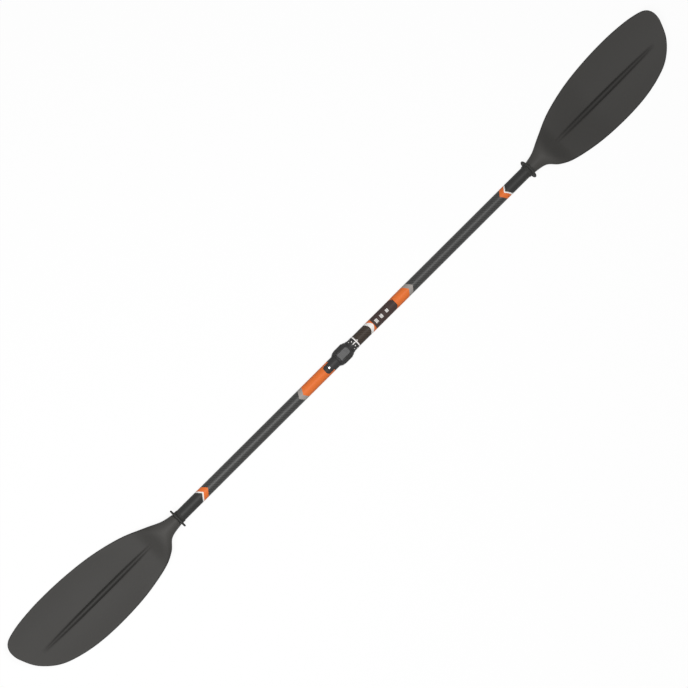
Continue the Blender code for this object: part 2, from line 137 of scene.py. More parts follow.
INDEX_POINT_HALF = 2.2
INDEX_LINE = (10.0, 0.4)
INDEX_LINE_HALF = 1.2
FEATHER_DOTS = ((-8.0, 26.5, 1.6), (-14.2, 44.0, 1.3), (-8.0, 62.0, 1.3))
STOP_BAND = (-151.5, -119.5)
STOP_LINE = (-115.5, -113.5)
SCALE_FROM = -109.5
SCALE_STEP = 10.0
SCALE_COUNT = 11
SCALE_LONG_EVERY = 5
TICK_HALF_LENGTHS = (6.0, 3.5)
TICK_HALF_WIDTH = 0.5
TICK_CORNER = 0.3

# End plug of the male tube, with the necks that its guide bush and seal sit on
PLUG_FLANGE_RADIUS = 13.4
PLUG_EDGE = 0.25
PLUG_NOSE = 2.0
PLUG_DIMPLE = (6.5, 1.2)
GUIDE_NECK_RADIUS = 11.5
SEAL_GROOVE = 3.0
SEAL_NECK_RADIUS = 11.8

# Blade outline: length from the neck's shoulder, then distance from the shaft's axis
BLADE_START = -SHAFT_END + FIT
NECK_RADIUS = 15.8
LONG_EDGE = ((0, 15.8), (30, 22.6), (68, 40), (128, 65), (204, 83.4), (284, 92.6),
             (364, 94.8), (426, 90.8), (464, 83.9), (484.3, 75.9), (494.7, 63))
SHORT_EDGE = ((0, -15.8), (36, -23), (62, -45.6), (100, -62.8), (176, -77.1), (260, -81.6),
              (336, -77.4), (398, -64), (440, -44.9), (474.5, -12.2), (492.8, 24.5))
BLADE_TIP = (497.4, 46)
OUTLINE_STEPS = 10
SPIGOT_LENGTH = 62.0
SPIGOT_RADIUS = 13.9
SPIGOT_CHAMFER = 1.5
NECK_EDGE = 0.5

# Blade section: neck and plate thickness, spoon curve, ribs of the power face and the back
PLATE_HALF_THICKNESS = 2.1
TIP_THINNING = 0.7
NECK_FADE = (44.0, 104.0)
# Where the painted highlight on the blade's neck fades out
NECK_HIGHLIGHT = (40.0, 72.0)
NECK_SQUARENESS = 2.0
PLATE_SQUARENESS = 5.0
SECTION_MIDDLE = 0.3
BLADE_DIP = 17.5
DIP_START = 40.0
DIP_LOWEST = 240.0
TIP_RISE = 16.0
EDGE_LIFT = 7.0
EDGE_LIFT_FADE = (80.0, 200.0)
EDGE_LIFT_AT = 85.0
SPINE_HEIGHT = 5.0
SPINE_ENDS = (64.0, 444.0)
SPINE_CREST_HALF = 3.0
SPINE_BASE_HALF = 8.5
# The crease's fade, place and width serve both its shallow groove and the painted shade laid in it
CREASE_FADE = (80.0, 150.0)
CREASE_AT = 0.64
CREASE_DEPTH = 0.6
CREASE_WIDTH = 3.2
BACK_RIB_HEIGHT = 9.0
BACK_RIB_HALF = 24.0
BACK_RIB_FADE_IN = (60.0, 150.0)
BACK_RIB_FADE_OUT = (300.0, 440.0)
CENTRE_STATIONS = (0.0, 1.5, 3.0, 4.5, 6.0, 7.5, 9.0, 11.0, 14.0, 19.0)
SIDE_STATIONS = 20
# Width of the band along the blade's edge that is darkened with painted shade and carries worn nicks
RIM_SHADE_AND_WEAR_WIDTH = 4.0

# Clamp collar, with its openings for lever, brake shoe, pin and rivet
COLLAR_BORE_RADIUS = SHAFT_RADIUS + FIT
BARREL_PROFILE = ((-66.5, 16.0), (-61, 19.2), (-55, 20.4), (-45, 20.6), (-31, 20.1), (-25.5, 19.2),
                  (-20.5, 16.9), (-15.5, 15.9))
HOUSING_PROFILE = ((-60.3, 12), (-60.3, 20.2), (-58, 23.4), (-51.5, 23.4), (-33.5, 20.6),
                   (-29.5, 18.5), (-29.5, 12))
HOUSING_HALF_WIDTH = 12.5
HOUSING_BEVEL = 1.6
HOUSING_BEVEL_STEPS = 5
HOUSING_BEVEL_ABOVE = 18.0
TONGUE_ROOT = -57.2
TONGUE_HALF_WIDTH = 11.2
TONGUE_CORNER = 7.0
TONGUE_CORNER_STEPS = 12
TONGUE_RADIUS = 16.4
TONGUE_FLOOR = 4.0
TONGUE_TIP = COLLAR_START - 2.5
TONGUE_OVERLAP = 2.0
BORE_START = TONGUE_TIP - 20.0
SLOT_START = -60.7
SLOT_STEP = -50.0
SLOT_END = -8.5
SLOT_HUB_FLOOR = 16.6
SLOT_ARM_FLOOR = 17.9
SHOE_HALF_LENGTH = 6.5
SHOE_HALF_WIDTH = 6.0
WINDOW_FLOOR = 8.0
WINDOW_GAP = 3 * FIT
SLOT_GAP = 0.5
PIN_GAP = 0.1
RIVET_HOLE_RADIUS = 1.7
COLLAR_GROOVES = ((-64.2, 16.3), (-21.6, 16.3))
GROOVE_WIDTH = 1.3
GRIP_RIBS = 7
GRIP_RIB_FIRST = math.radians(62)
GRIP_RIB_STEP = math.radians(13)
GRIP_RIB_ENDS = (-54.0, -29.5)
GRIP_RIB_WIDTH = 1.6
GRIP_RIB_CORNER = 0.72
GRIP_RIB_HEIGHT = 0.35
GRIP_RIB_ROOT = 2.0

# Cam lever: its tip's points lie about the tip, its other places about the pin
CAM_RADIUS = 3.4
CAM_LIFT = 0.8
CAM_STEPS = 24
LEVER_OPEN = math.radians(110)
LEVER_TIP_POINTS = ((-0.8, -1.4), (0.0, 0.3), (-1.4, 1.7))
LEVER_HEEL = (6.0, -2.2)
LEVER_PLAN_START = -12.0
LEVER_PLAN_MARGINS = (0.1, 0.05)
LEVER_CORNERS = (1.0, 7.0)
LEVER_EDGE = 0.35
LEVER_EDGE_STEPS = 3
LEVER_EDGE_ANGLE = math.radians(35)
PANEL_ENDS = (2.5, 18.0)
PANEL_HALF_WIDTH = 6.2
PANEL_CORNER = 2.5
PANEL_DEPTH = 0.4
PANEL_CUT = 6.0
RIDGES = 3
RIDGE_FIRST = 19.4
RIDGE_STEP = 2.8
RIDGE_WIDTH = 1.4
RIDGE_CORNER = 0.6
RIDGE_HEIGHTS = (-0.8, 0.5)
RIDGE_INSET = 1.6
RIDGE_TAPER = 0.8

# Hinge pin and rivet
PIN_SIDES = 32
PIN_END_LENGTH = 0.4
PIN_END_RADIUS = 0.6 * PIN_RADIUS
RIVET_SHANK_RADIUS = 1.4
RIVET_HEAD_HEIGHT = 0.9
RIVET_HEAD_EDGE = 0.15

# Drip rings: points of the faces and the hub's ribs give a length along the shaft and a radius
RING_RADIUS = span("left_drip_ring", 2)[1] + 0.7
RING_THICK = 4.8
RING_FIT = 0.05
RING_OUTER_FACE = ((0.9, 16.0), (0.7, 16.8), (-0.5, 19.5))
RING_INNER_FACE = ((0.4, 19.5), (-0.4, 17.4))
RING_DISH = 0.7
RING_LIP = 3.0
HUB_RIBS = 3
HUB_RIB = ((0.0, 16.3), (1.6, 16.3), (2.0, 15.9), (2.4, 15.9))
HUB_RIB_START = 0.6
HUB_RIB_SHARE = 0.9
HUB_END_RADIUS = 15.8
HUB_END_EDGE = 0.3

# Camera, in metres: distance, tilt towards the left half, turn of the shaft in the picture, and aim
CAMERA_DISTANCE = 5.6
CAMERA_TILT = math.radians(6.55)
CAMERA_TURN = math.radians(44.86)
CAMERA_LENS = 121.5
CAMERA_SENSOR = 36.0
AIM = AXIS + Vector((-0.0232, 0.0155, 0.0))

# Light and floor, in metres: a long soft box above the shaft, nearer to the left half, in a pale room
LAMP_PLACE = (-0.95, -0.1, 4.0)
LAMP_SIZE = (5.0, 1.0)
LAMP_WATTS = 200.0
ROOM_COLOUR = (1.0, 1.0, 1.0, 1.0)
ROOM_LEVEL = 0.05
FLOOR_HALF_SIZE = 30.0
FLOOR_DROP = 0.0005
FLOOR_GLOW = 0.9
FLOOR_SEEN = (0.95, 0.95, 0.95, 1.0)
FLOOR_BOUNCE = (0.55, 0.55, 0.55, 1.0)

# Colours
BLADE_GREY = (0.046, 0.0445, 0.042)
# Carbon tows: the lighter tone is painted sheen on the tows that lie one way, the darker one their painted
# shade
CARBON_DARK = (0.017, 0.017, 0.0163)
CARBON_LIGHT = (0.062, 0.062, 0.0595)
PRINT_BLACK = (0.0265, 0.0265, 0.0255)
TUBE_BLACK = (0.052, 0.040, 0.032)
LABEL_BLACK = (0.060, 0.041, 0.038)
PRINT_ORANGE = (0.77, 0.175, 0.040)
PRINT_WHITE = (0.86, 0.84, 0.81)
PRINT_GREY = (0.34, 0.312, 0.29)
COLLAR_GREY = (0.034, 0.0335, 0.0335)
LEVER_GREY = (0.118, 0.118, 0.119)
RUBBER_BLACK = (0.043, 0.043, 0.041)
WIPER_WHITE = (0.86, 0.83, 0.81)
STEEL = (0.5, 0.5, 0.51)
DARK_STEEL = (0.06, 0.06, 0.062)
ACETAL_BLACK = (0.035, 0.035, 0.036)
FOAM_GREY = (0.2, 0.2, 0.21)

# Textures: pitch of the woven tows, bump, and scales along each axis in turns to the metre
TOW_PITCH = 1.96
BUMP_STRENGTH = 0.6
SCUFFS = (40.0, 900.0, 900.0)
SCRATCHES = (70.0, 2200.0, 2200.0)
FLOW_MARKS = (9.0, 26.0, 26.0)
FIBRE_SPECKS = (420.0, 1500.0, 1500.0)
FIBRES_ALONG = (160.0, 6000.0, 6000.0)
FIBRES_ROUND = (6000.0, 160.0, 160.0)
BRUSH_MARKS = (900.0, 7000.0, 900.0)
FOAM_CELLS = 900.0


def give(thing, **settings):
    """Set some of a thing's values and return it."""
    for key, value in settings.items():
        setattr(thing, key, value)
    return thing


class Nodes:
    """Node tree of a material or a world, with short helpers."""

    def __init__(self, owner):
        self.made = give(owner, use_nodes=True)
        self.tree = owner.node_tree

    def feed(self, node, inputs):
        """Link or set a node's inputs, given by name or number."""
        for key, value in inputs.items():
            if isinstance(value, bpy.types.NodeSocket):
                self.tree.links.new(value, node.inputs[key])
            else:
                node.inputs[key].default_value = value

    def add(self, kind, inputs=None, **settings):
        """New node with its settings and inputs."""
        node = give(self.tree.nodes.new(kind), **settings)
        self.feed(node, inputs or {})
        return node

    def result(self, kind, inputs, **settings):
        """First output of a new node."""
        return self.add(kind, inputs, **settings).outputs[0]

    def math(self, operation, first, second=0.0):
        """One step of arithmetic."""
        return self.result("ShaderNodeMath", {0: first, 1: second}, operation=operation)

    def between(self, value, low, high):
        """Value from 0 to 1 moved to lie from low to high."""
        return self.result("ShaderNodeMapRange", {"Value": value, "To Min": low, "To Max": high})


class Finish(Nodes):
    """Principled material and the textures that it is made from."""

    def __init__(self, name, roughness, metallic=0.0, specular=0.1):
        super().__init__(bpy.data.materials.new(name))
        self.shader = self.tree.nodes["Principled BSDF"]
        self.feed(self.shader, {"Roughness": roughness, "Metallic": metallic,
                                "Specular IOR Level": specular})
        self.place = self.add("ShaderNodeTexCoord").outputs["Object"]

    def noise(self, scale, detail, roughness=0.55, vector=None):
        """Noise by scale in turns to the metre."""
        return self.result("ShaderNodeTexNoise", {"Vector": vector or self.place, "Scale": scale,
                                                  "Detail": detail, "Roughness": roughness})

    def streaks(self, scales, detail, roughness):
        """Noise with a scale of its own along each axis."""
        place = self.result("ShaderNodeMapping", {"Vector": self.place, "Scale": scales})
        return self.noise(1.0, detail, roughness, place)

    def attribute(self, name):
        """A value stored on the mesh."""
        return self.add("ShaderNodeAttribute", attribute_name=name).outputs["Fac"]

    def pick(self, share, first, second):
        """Value between two values."""
        return self.result("ShaderNodeMix", {"Factor": share, "A": first, "B": second})

    def blend(self, share, first, second):
        """Colour between two colours."""
        node = self.add("ShaderNodeMix", {"Factor": share}, data_type="RGBA")
        places = [index for index, socket in enumerate(node.inputs) if socket.type == "RGBA"]
        self.feed(node, dict(zip(places, (first, second))))
        return next(socket for socket in node.outputs if socket.type == "RGBA")

    def tint(self, base, mask, share, colour):
        """Base colour, moved by a share towards another where the mask is 1."""
        return self.blend(self.between(mask, 0.0, share), base, colour)

    def sharpen(self, value, low, high):
        """0 below low, 1 above high."""
        return self.result("ShaderNodeMapRange", {"Value": value, "From Min": low, "From Max": high})

    def finish(self, colour, roughness, height, depth):
        """Feed the shader its colour, roughness and bump, and return the material."""
        bump = self.result("ShaderNodeBump",
                           {"Height": height, "Distance": depth, "Strength": BUMP_STRENGTH})
        self.feed(self.shader, {"Base Color": colour, "Roughness": roughness, "Normal": bump})
        return self.made


def shade(colour, amount=1.0):
    """Opaque colour made darker or lighter."""
    return (*[channel * amount for channel in colour[:3]], 1.0)


def moulded(name, colour, roughness, grain=2600.0, depth=0.00006, mottle=0.12, specular=0.1):
    """Moulded plastic or rubber: fine grain, soft mottling and small scuffs."""
    made = Finish(name, roughness, specular=specular)
    cloud = made.noise(26.0, 4.0)
    fine = made.noise(grain, 2.0)
    scuff = made.sharpen(made.streaks(SCUFFS, 5.0, 0.7), 0.62, 0.78)
    base = made.blend(cloud, shade(colour, 1.0 - mottle), shade(colour, 1.0 + mottle))
    base = made.tint(base, scuff, 0.25, shade(colour, 1.7))
    rough = made.between(cloud, roughness - 0.07, roughness + 0.07)
    return made.finish(base, rough, fine, depth)


def blade_nylon():
    """Fibre-filled nylon: fibre specks, flow marks, a painted highlight on the neck, painted shade in the
    creases and along the top of the spine, and a rim darkened with painted shade and lightened by worn
    nicks.
    """
    made = Finish("blade_nylon", 0.48)
    flow = made.streaks(FLOW_MARKS, 4.0, 0.6)
    specks = made.streaks(FIBRE_SPECKS, 2.0, 0.5)
    fine = made.noise(3200.0, 2.0)
    base = made.blend(flow, shade(BLADE_GREY, 0.93), shade(BLADE_GREY, 1.07))
    pale = made.sharpen(specks, 0.58, 0.75)
    base = made.tint(base, pale, 0.3, shade(BLADE_GREY, 1.6))
    # Painted highlight: the neck is made paler, standing in for light on its rounded top
    base = made.blend(made.attribute("neck"), base, shade(BLADE_GREY, 1.35))
    # Painted shade in the creases beside the spine and along the top of the spine, standing in for shade on
    # the rib's slopes
    base = made.tint(base, made.attribute("crease"), 0.6, shade(BLADE_GREY, 0.3))
    base = made.tint(base, made.attribute("crest_shade"), 0.62, shade(BLADE_GREY, 0.5))
    # The rim: painted shade darkens a band along the edge, and worn nicks lighten it
    rim = made.attribute("rim")
    base = made.tint(base, rim, 0.75, shade(BLADE_GREY, 0.3))
    nicks = made.math("MULTIPLY", rim, made.sharpen(made.noise(240.0, 3.0), 0.6, 0.72))
    base = made.tint(base, nicks, 0.5, shade(BLADE_GREY, 2.6))
    height = made.math("ADD", fine, made.math("MULTIPLY", specks, 0.8))
    return made.finish(base, made.between(flow, 0.42, 0.55), height, 0.00007)


def round_places(made):
    """Places round and along the shaft, counted in tows."""
    split = made.add("ShaderNodeSeparateXYZ", {"Vector": made.place}).outputs
    across = made.math("SUBTRACT", split["Y"], AXIS.y)
    up = made.math("SUBTRACT", split["Z"], AXIS.z)
    angle = made.math("ARCTAN2", across, up)
    turn = made.math("MULTIPLY", angle, SHAFT_RADIUS / TOW_PITCH)
    along = made.math("MULTIPLY", split["X"], 1.0 / (TOW_PITCH * MM))
    return turn, along


def carbon(name, dark, light, specular):
    """Two-by-two twill of flat tows, with fibre streaks."""
    made = Finish(name, 0.42, specular=specular)
    turn, along = round_places(made)
    cell = made.math("ADD", made.math("FLOOR", turn), made.math("FLOOR", along))
    over = made.math("LESS_THAN", made.math("FLOORED_MODULO", cell, 4.0), 1.5)
    crown_turn = made.math("SINE", made.math("MULTIPLY", made.math("FRACT", turn), math.pi))
    crown_along = made.math("SINE", made.math("MULTIPLY", made.math("FRACT", along), math.pi))
    crown = made.pick(over, crown_along, crown_turn)
    fibre = made.pick(over, made.streaks(FIBRES_ROUND, 2.0, 0.6), made.streaks(FIBRES_ALONG, 2.0, 0.6))
    # Painted sheen: tows that lie one way are lighter, as if they caught the light
    tow = made.blend(made.between(over, 0.2, 0.85), dark, light)
    tow = made.tint(tow, fibre, 0.5, shade(dark, 0.6))
    # Painted shade at the edges of each tow, where it dips under the next
    tow = made.blend(made.between(crown, 0.35, 0.0), tow, shade(dark, 0.4))
    tow = made.tint(tow, made.noise(14.0, 3.0), 0.12, shade(light, 1.3))
    return made.finish(tow, made.between(made.noise(60.0, 4.0), 0.38, 0.47), crown, 0.00008)


def printed(name, colour, roughness=0.42, specular=0.1):
    """Ink or film on the tube: faint weave showing through, small scratches, slight fading."""
    made = Finish(name, roughness, specular=specular)
    cloud = made.noise(30.0, 4.0)
    scratch = made.sharpen(made.streaks(SCRATCHES, 4.0, 0.7), 0.66, 0.78)
    base = made.blend(cloud, shade(colour, 0.94), shade(colour, 1.05))
    base = made.tint(base, scratch, 0.2, shade(colour, 0.6))
    turn, along = round_places(made)
    weave = made.math("MULTIPLY", made.math("SINE", made.math("MULTIPLY", turn, math.pi)),
                      made.math("SINE", made.math("MULTIPLY", along, math.pi)))
    return made.finish(base, made.between(cloud, roughness - 0.05, roughness + 0.06), weave, 0.00002)


def brushed_steel(name, colour):
    """Steel with a fine turned brush."""
    made = Finish(name, 0.26, metallic=1.0, specular=0.5)
    brush = made.streaks(BRUSH_MARKS, 3.0, 0.6)
    base = made.blend(brush, shade(colour, 0.9), shade(colour, 1.08))
    return made.finish(base, made.between(brush, 0.2, 0.34), brush, 0.00002)


def foam():
    """Closed-cell foam with its small cells."""
    roughness = 0.9
    made = Finish("closed_cell_foam", roughness)
    cells = made.result("ShaderNodeTexVoronoi", {"Vector": made.place, "Scale": FOAM_CELLS})
    base = made.blend(cells, shade(FOAM_GREY, 0.6), shade(FOAM_GREY, 1.2))
    return made.finish(base, roughness, cells, 0.0003)


LOOKS = {
    "blade": blade_nylon(),
    # The lighter tone given to each carbon look is painted sheen on its weave
    "carbon": carbon("carbon_shaft", shade(CARBON_DARK), shade(CARBON_LIGHT), 0.32),
    "tube": carbon("black_tube", shade(TUBE_BLACK, 0.8), shade(TUBE_BLACK, 1.5), 0.1),
    "black": printed("black_print", PRINT_BLACK, 0.5, 0.2),
    "label": printed("label_film", LABEL_BLACK, 0.5),
    "orange": printed("orange_print", PRINT_ORANGE),
    "white": printed("white_print", PRINT_WHITE),
    "grey": printed("grey_print", PRINT_GREY),
    "collar": moulded("collar_plastic", COLLAR_GREY, 0.46, specular=0.14),
    "lever": moulded("lever_plastic", LEVER_GREY, 0.46),
    "rubber": moulded("drip_rubber", RUBBER_BLACK, 0.62, 3400.0, 0.00008, 0.2),
    "wiper": moulded("wiper_rubber", WIPER_WHITE, 0.5, 3400.0, 0.00004, 0.05),
    "steel": brushed_steel("stainless_steel", STEEL),
    "dark_steel": brushed_steel("blackened_steel", DARK_STEEL),
    "acetal": moulded("black_acetal", ACETAL_BLACK, 0.4, 3000.0, 0.00002, 0.1),
    "foam": foam(),
}


def lerp(a, b, t):
    """Value between a and b."""
    return a + (b - a) * t


def ease(low, high, value):
    """Smooth step from 0 at low to 1 at high."""
    t = min(max((value - low) / (high - low), 0.0), 1.0)
    return t * t * (3.0 - 2.0 * t)


def smooth_curve(points, steps):
    """Points on a smooth curve through the given points, with steps to each span."""
    made = []
    last = len(points) - 1
    for index in range(last):
        before = Vector(points[max(index - 1, 0)])
        start = Vector(points[index])
        end = Vector(points[index + 1])
        after = Vector(points[min(index + 2, last)])
        for step in range(steps):
            t = step / steps
            leave = (end - before) * 0.5
            arrive = (after - start) * 0.5
            bend = leave + arrive + 2.0 * (start - end)
            swing = 3.0 * (end - start) - 2.0 * leave - arrive
            made.append(start + leave * t + swing * t * t + bend * t ** 3)
    made.append(Vector(points[last]))
    return made


def bridge_rings(bm, rings, closed):
    """Skin a row of vertex rings; a ring of one vertex is a pole."""
    pairs = list(zip(rings, rings[1:]))
    if closed:
        pairs.append((rings[-1], rings[0]))
    for first, second in pairs:
        count = max(len(first), len(second))
        if count == 1:
            continue
        for i in range(count):
            j = (i + 1) % count
            corners = [first[i % len(first)], first[j % len(first)],
                       second[j % len(second)], second[i % len(second)]]
            bm.faces.new(list(dict.fromkeys(corners)))


def circle(x, across, radius, sides=CIRCLE_SIDES):
    """Outline of a round hole, dot or ring section about a place along and across."""
    angles = [math.tau * i / sides for i in range(sides)]
    return [(x + radius * math.cos(angle), across + radius * math.sin(angle)) for angle in angles]


def turned(profile, sides=ROUND_SIDES):
    """Solid turned about X from the (x, radius) points of its closed half section."""
    bm = bmesh.new()
    rings = []
    for x, radius in profile:
        places = circle(0.0, 0.0, radius, sides) if radius else [(0.0, 0.0)]
        rings.append([bm.verts.new((x, y, z)) for y, z in places])
    bridge_rings(bm, rings, closed=True)
    return bm


def moved(bm, matrix):
    """Shape after a move or a turn."""
    bmesh.ops.transform(bm, matrix=matrix, verts=bm.verts)
    return bm


def soft_tube(start, end, inner, outer, edge=TUBE_EDGE):
    """Tube along X with broken edges."""
    return turned(((start, inner + edge), (start + edge, inner),
                   (end - edge, inner), (end, inner + edge),
                   (end, outer - edge), (end - edge, outer),
                   (start + edge, outer), (start, outer - edge)))


def prism(outline, axis, start, end):
    """Straight extrusion along one axis of an outline in the other two axes."""
    bm = bmesh.new()
    rings = []
    for place in (start, end):
        ring = []
        for a, b in outline:
            corner = [a, b]
            corner.insert("XYZ".index(axis), place)
            ring.append(bm.verts.new(corner))
        rings.append(ring)
    bridge_rings(bm, rings, closed=False)
    bm.faces.new(rings[0])
    bm.faces.new(rings[1])
    return bm


def rounded_box(x0, x1, half, corner, far_corner=None, steps=CURVE_STEPS):
    """Rectangle in x and y with round corners, those at x1 by another radius if one is given."""
    far = corner if far_corner is None else far_corner
    made = []
    for x, y, radius, first in ((x1 - far, half - far, far, 0.0),
                                (x0 + corner, half - corner, corner, 0.5),
                                (x0 + corner, corner - half, corner, 1.0),
                                (x1 - far, far - half, far, 1.5)):
        count = SMALL_CORNER_STEPS if radius < SMALL_CORNER else steps
        for i in range(count + 1):
            angle = math.pi * (first + 0.5 * i / count)
            made.append((x + radius * math.cos(angle), y + radius * math.sin(angle)))
    return made


def make_mesh(name, bm):
    """Mesh from a shape, which is freed."""
    mesh = bpy.data.meshes.new(name)
    bm.to_mesh(mesh)
    bm.free()
    return mesh


def show(name, data):
    """Object in the scene for a mesh, a camera or a lamp."""
    made = bpy.data.objects.new(name, data)
    bpy.context.scene.collection.objects.link(made)
    return made


def make_object(name, bm):
    """Object in the frame's metres from a shape in millimetres about the shaft's axis."""
    bmesh.ops.recalc_face_normals(bm, faces=bm.faces)
    bmesh.ops.scale(bm, vec=(MM, MM, MM), verts=bm.verts)
    bmesh.ops.translate(bm, vec=AXIS, verts=bm.verts)
    return show(name, make_mesh(name, bm))


def merge_close(bm, distance):
    """Merge points closer than a distance, and take out the slivers between them."""
    bmesh.ops.remove_doubles(bm, verts=bm.verts, dist=distance)
    bmesh.ops.dissolve_degenerate(bm, dist=distance, edges=bm.edges)


def carve(target, shape, operation="DIFFERENCE"):
    """Cut, join or meet a piece with a shape or a piece, which is used up, and merge close points."""
    tool = shape if isinstance(shape, bpy.types.Object) else make_object("carving_tool", shape)
    give(target.modifiers.new("carve", "BOOLEAN"), operation=operation, solver="EXACT", object=tool)
    bm = bmesh.new()
    bm.from_object(target, bpy.context.evaluated_depsgraph_get())
    target.modifiers.clear()
    bpy.data.objects.remove(tool, do_unlink=True)
    merge_close(bm, SMALLEST * MM)
    target.data = make_mesh(target.name, bm)


def split_faces(target):
    """Leave a piece with triangles only, so that no face has a notch."""
    target.modifiers.new("split_faces", "TRIANGULATE")


def paint(target, look):
    """Give a piece its material."""
    target.data.materials.clear()
    target.data.materials.append(LOOKS[look])


def settle(target, body, look, slot, *nodes):
    """Give a finished piece its look and its body, and hide the nodes that it stands for; slot is not used.
    """
    paint(target, look)
    target.data.shade_smooth()
    target.data.set_sharp_from_angle(angle=SHARP_ANGLE)
    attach(target, body)
    if nodes:
        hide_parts(*nodes)


# Blades


def edge_curve(edge, other):
    """Smooth edge from the neck to just short of the tip, led on round the tip by the other edge."""
    curve = smooth_curve((*edge, BLADE_TIP, other[-1]), OUTLINE_STEPS)
    return curve[:len(edge) * OUTLINE_STEPS]


def blade_centre(u, v):
    """Height of the blade's middle surface: a dip behind the shaft, a tip that rises again."""
    if u <= DIP_LOWEST:
        height = -BLADE_DIP * ease(DIP_START, DIP_LOWEST, u)
    else:
        height = -BLADE_DIP + TIP_RISE * ((u - DIP_LOWEST) / (BLADE_TIP[0] - DIP_LOWEST)) ** 2
    return height + EDGE_LIFT * ease(*EDGE_LIFT_FADE, u) * (v / EDGE_LIFT_AT) ** 2


def spine_shape(u):
    """How wide the spine is at one length, from 0 at its ends to 1 in its middle."""
    along = min(max((u - SPINE_ENDS[0]) / (SPINE_ENDS[1] - SPINE_ENDS[0]), 0.0), 1.0)
    return math.sqrt(math.sin(math.pi * along))


def crease_at(u, v):
    """How far into a crease beside the spine a place lies."""
    slender = spine_shape(u)
    off = (abs(v) - CREASE_AT * SPINE_BASE_HALF * slender) / CREASE_WIDTH
    return math.exp(-off * off) * slender * ease(*CREASE_FADE, u)


def blade_faces(u, v, reach):
    """Heights of power face and back at one place; reach is 0 on the centre line, 1 at the edge."""
    flat = ease(*NECK_FADE, u)
    plate = PLATE_HALF_THICKNESS - TIP_THINNING * u / BLADE_TIP[0]
    power = lerp(NECK_SQUARENESS, PLATE_SQUARENESS, flat)
    half = lerp(NECK_RADIUS, plate, flat) * (1.0 - min(reach, 1.0) ** power) ** (1.0 / power)
    slender = spine_shape(u)
    spine = SPINE_HEIGHT * slender ** 2
    spine *= 1.0 - ease(SPINE_CREST_HALF * slender, SPINE_BASE_HALF * slender + SMALLEST, abs(v))
    spine -= CREASE_DEPTH * crease_at(u, v)
    rib = BACK_RIB_HEIGHT * ease(*BACK_RIB_FADE_IN, u) * (1.0 - ease(*BACK_RIB_FADE_OUT, u))
    rib *= math.exp(-(v / BACK_RIB_HALF) ** 4)
    centre = blade_centre(u, v)
    return centre + half + spine, max(centre - half - rib, -REST_DEPTH)


def stations(reach, flat):
    """Distances from the centre line to the edge: at even angles at the neck, then close to the spine."""
    made = []
    inner = len(CENTRE_STATIONS) - 1
    squeeze = min(1.0, reach / (2.0 * CENTRE_STATIONS[inner]))
    for i in range(SIDE_STATIONS + 1):
        round_place = reach * math.sin(0.5 * math.pi * i / SIDE_STATIONS)
        if i <= inner:
            flat_place = CENTRE_STATIONS[i] * squeeze
        else:
            share = (i - inner) / (SIDE_STATIONS - inner)
            flat_place = lerp(CENTRE_STATIONS[inner] * squeeze, reach, math.sin(0.5 * math.pi * share))
        made.append(lerp(round_place, flat_place, flat))
    return made


def blade_section(long_point, short_point):
    """Loop round the blade between its edges: places, with marks for the painted shade of the creases, the
    top of the spine and the rim, and for the neck's painted highlight.
    """
    width = long_point.y - short_point.y
    middle = max(0.0, short_point.y + SECTION_MIDDLE * width)
    flat = ease(*NECK_FADE, 0.5 * (long_point.x + short_point.x))
    right = [middle + d for d in stations(long_point.y - middle, flat)]
    left = [middle - d for d in stations(middle - short_point.y, flat)]
    top = []
    bottom = []
    for v in left[:0:-1] + right:
        u = lerp(short_point.x, long_point.x, (v - short_point.y) / width)
        edge = long_point.y if v >= middle else short_point.y
        face, back = blade_faces(u, v, abs((v - middle) / (edge - middle)))
        # Rim band: painted shade along the edge, and where the worn nicks lie
        rim = (1.0 - ease(0.0, RIM_SHADE_AND_WEAR_WIDTH, abs(edge - v))) * flat
        # Painted shade along the top of the spine
        near_spine = 1.0 - ease(0.5 * SPINE_BASE_HALF, SPINE_BASE_HALF, abs(v))
        crest_shade = spine_shape(u) * ease(*CREASE_FADE, u) * near_spine
        # Painted highlight on the neck, fading out along the blade
        neck = 1.0 - ease(*NECK_HIGHLIGHT, u)
        # The first mark is painted shade in the creases
        top.append(((u, v, face), (crease_at(u, v), crest_shade, rim, neck)))
        bottom.append(((u, v, back), (0.0, 0.0, rim, neck)))
    return top + bottom[-2:0:-1]


def round_section(u, radius):
    """Loop of the same count round the spigot."""
    made = []
    count = 4 * SIDE_STATIONS
    for i in range(count):
        angle = math.pi - math.tau * i / count
        made.append(((u, radius * math.cos(angle), radius * math.sin(angle)), (0.0, 0.0, 0.0, 1.0)))
    return made


def make_blade(side, name):
    """Blade with its neck and spigot, on the left (-1) or right (+1) end."""
    loops = [round_section(-SPIGOT_LENGTH, SPIGOT_RADIUS - SPIGOT_CHAMFER),
             round_section(SPIGOT_CHAMFER - SPIGOT_LENGTH, SPIGOT_RADIUS),
             round_section(0.0, SPIGOT_RADIUS),
             round_section(0.0, NECK_RADIUS - NECK_EDGE)]
    shoulder = len(loops)
    loops += map(blade_section, edge_curve(LONG_EDGE, SHORT_EDGE), edge_curve(SHORT_EDGE, LONG_EDGE))
    bm = bmesh.new()
    rings = []
    marks = []
    for loop in loops:
        rings.append([bm.verts.new((side * (BLADE_START + u), v, z)) for (u, v, z), _ in loop])
        marks += [mark for _, mark in loop]
    for vert in rings[shoulder]:
        vert.co.x += side * NECK_EDGE
    bridge_rings(bm, rings, closed=False)
    bm.faces.new(rings[0])
    bm.faces.new(rings[-1])
    made = make_object(f"{name}_blade_skin", bm)
    # Marks kept on the points: painted shade in the creases, along the top of the spine and at the rim, and
    # the neck's painted highlight
    for index, key in enumerate(("crease", "crest_shade", "rim", "neck")):
        layer = made.data.attributes.new(key, "FLOAT", "POINT")
        layer.data.foreach_set("value", [mark[index] for mark in marks])
    settle(made, f"{name}_half", "blade", "blade", f"{name}_blade")


